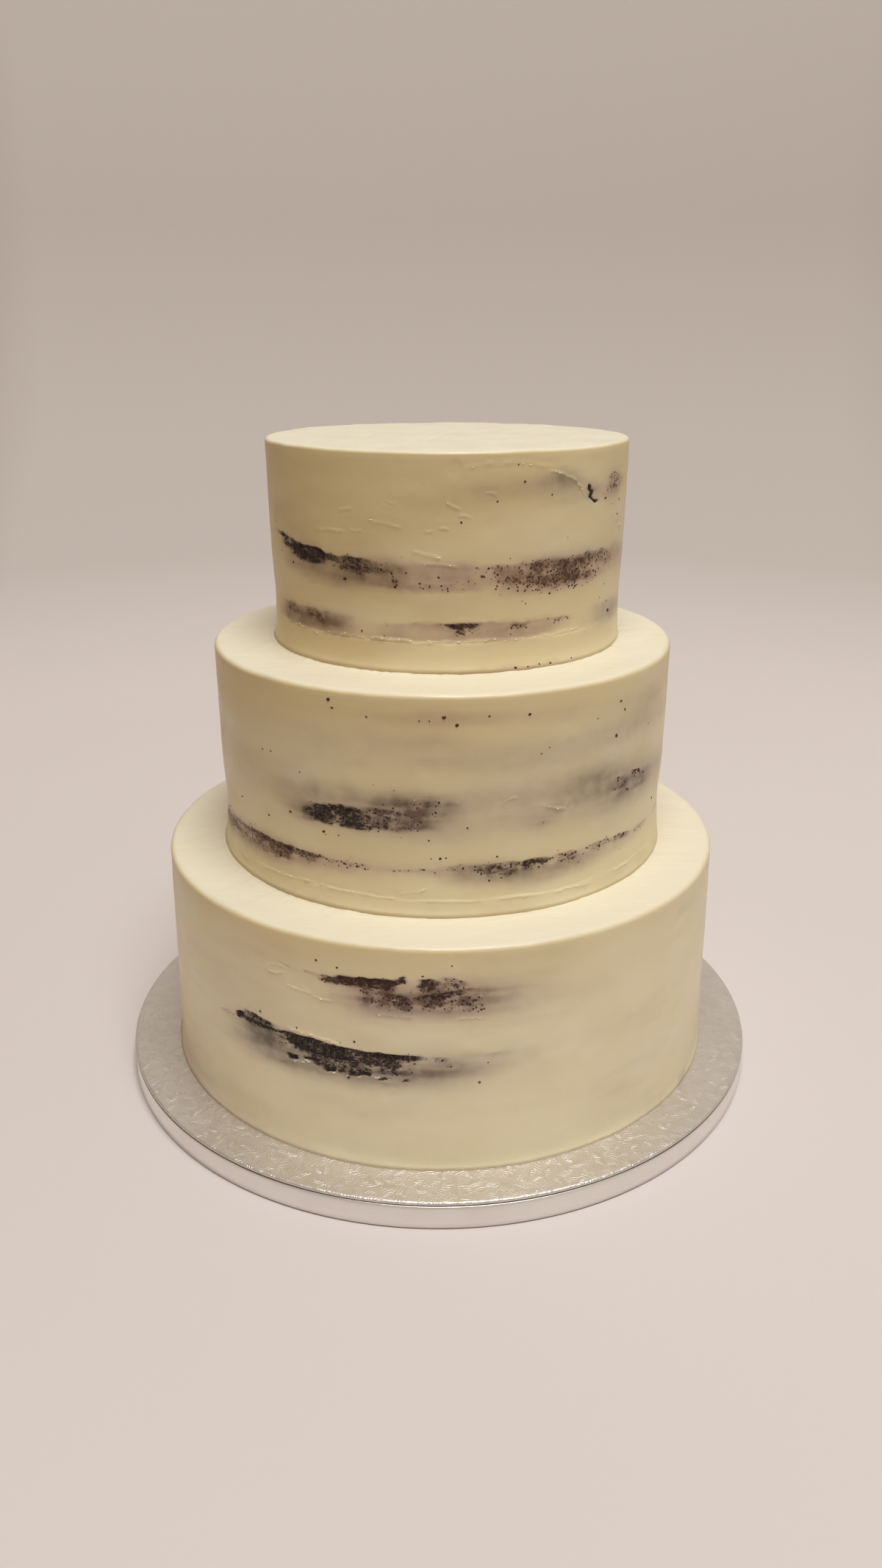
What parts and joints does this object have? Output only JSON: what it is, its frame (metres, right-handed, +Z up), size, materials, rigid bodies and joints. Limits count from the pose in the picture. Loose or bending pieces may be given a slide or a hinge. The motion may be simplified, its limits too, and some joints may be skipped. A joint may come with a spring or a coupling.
{
  "type": "tiered wedding cake",
  "caption": "Round tiered semi-naked chocolate wedding cake in thin cream icing with dark crumb showing through in bands, on a foil-covered drum.",
  "frame": {"origin": "centre of the drum's underside, on the surface the cake stands on", "axes": "+Z up through the tiers, -Y towards the side that the picture shows, +X to the right of that side"},
  "size_m": [0.3048, 0.3048, 0.2927],
  "materials": {
    "icing": "soft satin cream, smoothed with a scraper",
    "filling": "soft satin cream",
    "sponge": "matt, open, very dark chocolate crumb",
    "drum_foil": "satin foil embossed with a small leaf pattern",
    "edge_band": "smooth satin foil strip"
  },
  "bodies": {
    "root": {"cake_drum": "drum_foil", "drum_edge_band": "edge_band", "tier1_sponge_bottom": "sponge", "tier1_filling_lower": "filling", "tier1_sponge_middle": "sponge", "tier1_filling_upper": "filling", "tier1_sponge_top": "sponge", "tier1_icing": "icing", "tier2_sponge_bottom": "sponge", "tier2_filling_lower": "filling", "tier2_sponge_middle": "sponge", "tier2_filling_upper": "filling", "tier2_sponge_top": "sponge", "tier2_icing": "icing", "tier3_sponge_bottom": "sponge", "tier3_filling_lower": "filling", "tier3_sponge_middle": "sponge", "tier3_filling_upper": "filling", "tier3_sponge_top": "sponge", "tier3_icing": "icing"}
  },
  "joints": []
}
